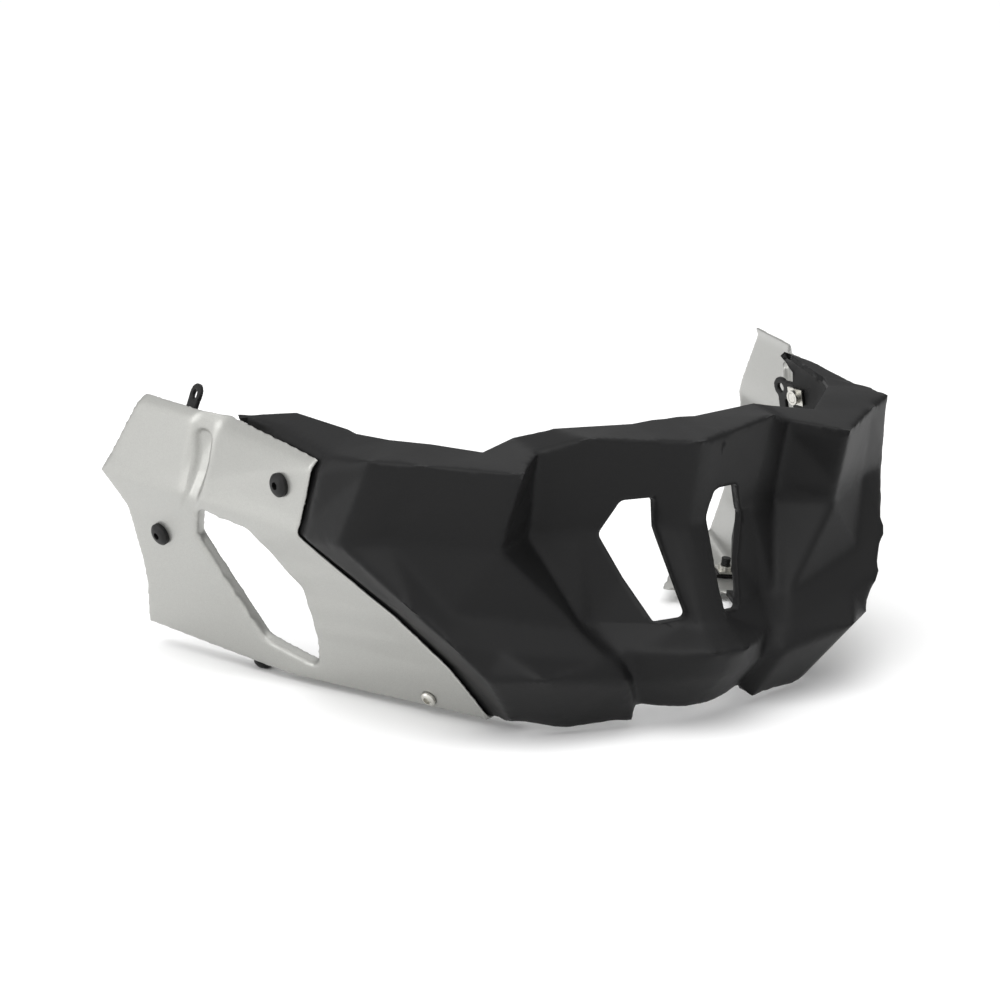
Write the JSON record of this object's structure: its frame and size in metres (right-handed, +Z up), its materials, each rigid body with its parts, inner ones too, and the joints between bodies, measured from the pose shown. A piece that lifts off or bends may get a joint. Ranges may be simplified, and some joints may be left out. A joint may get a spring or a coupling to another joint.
{
  "type": "motorcycle belly pan",
  "caption": "Belly pan for a motorcycle: black moulded nose with twin windows between silver side panels with six-sided openings, held by screws and steel straps with mounting ears.",
  "frame": {"origin": "on the floor under the middle of the part's box, in rest", "axes": "+Z up, -Y to the bike's front where the nose points, +X to the bike's left side"},
  "size_m": [0.45, 0.312, 0.1622],
  "materials": {
    "pan_plastic": "satin, fine grain",
    "silver_panel": "satin silver paint on moulded plastic",
    "black_steel": "satin black paint",
    "black_screw": "black oxide",
    "bright_steel": "zinc plate"
  },
  "bodies": {
    "root": {"front_pan": "pan_plastic", "left_side_panel": "silver_panel", "right_side_panel": "silver_panel", "left_strap": "black_steel", "right_strap": "black_steel", "left_panel_screws": "black_screw", "right_panel_screws": "black_screw", "tip_screws": "bright_steel", "left_strap_screw": "bright_steel", "left_strap_nut": "bright_steel", "left_clip_nuts": "bright_steel", "right_clip_nuts": "bright_steel", "tip_nuts": "bright_steel"}
  },
  "joints": []
}
